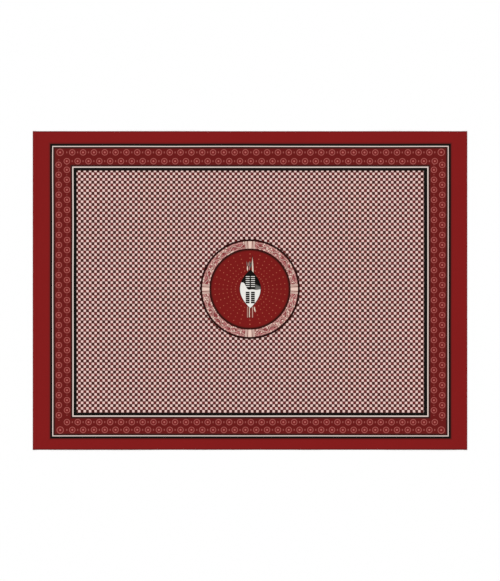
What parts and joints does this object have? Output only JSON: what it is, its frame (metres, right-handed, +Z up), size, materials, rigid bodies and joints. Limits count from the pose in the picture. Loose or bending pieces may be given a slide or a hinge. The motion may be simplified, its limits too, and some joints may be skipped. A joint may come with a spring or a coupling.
{
  "type": "kanga",
  "caption": "Flat rectangular cotton cloth to wear, printed with a plain margin, a ring-dot border, a fine checked field and a round central medallion.",
  "frame": {"origin": "on the surface under the middle of the cloth", "axes": "+X along the long sides, +Y towards the top edge of the print, +Z up out of the printed face"},
  "size_m": [1.5, 1.1, 0.0018],
  "materials": {
    "printed_cotton": "matt plain-weave cotton, printed in red, black and white"
  },
  "bodies": {
    "root": {"kanga_cloth": "printed_cotton"}
  },
  "joints": []
}
